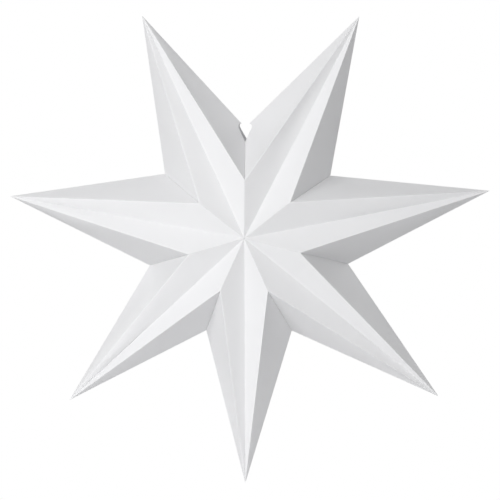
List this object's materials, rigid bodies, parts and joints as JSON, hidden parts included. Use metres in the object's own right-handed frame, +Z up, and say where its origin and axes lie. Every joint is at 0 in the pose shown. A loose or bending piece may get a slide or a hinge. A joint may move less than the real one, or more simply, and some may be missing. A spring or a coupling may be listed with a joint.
{
  "type": "paper star lamp shade",
  "caption": "Hollow star-shaped hanging lamp shade of folded white card, with long faceted points glued side by side and a notch at the top for the cord.",
  "frame": {"origin": "outer corner of the closing joint at the top, in the middle of the cord notch", "axes": "+Z up along the cord, the star stands in the XZ plane, -Y is the front and +X is to the right as seen from the front"},
  "size_m": [0.7061, 0.19, 0.6857],
  "materials": {
    "card": "matt uncoated white card",
    "adhesive_film": "thin pale double-sided film"
  },
  "bodies": {
    "root": {"star_point_1": "card", "star_point_2": "card", "star_point_3": "card", "star_point_4": "card", "star_point_5": "card", "star_point_6": "card", "star_point_7": "card", "closing_strip_front_inner": "adhesive_film", "closing_strip_front_outer": "adhesive_film", "closing_strip_back_inner": "adhesive_film", "closing_strip_back_outer": "adhesive_film"}
  },
  "joints": []
}
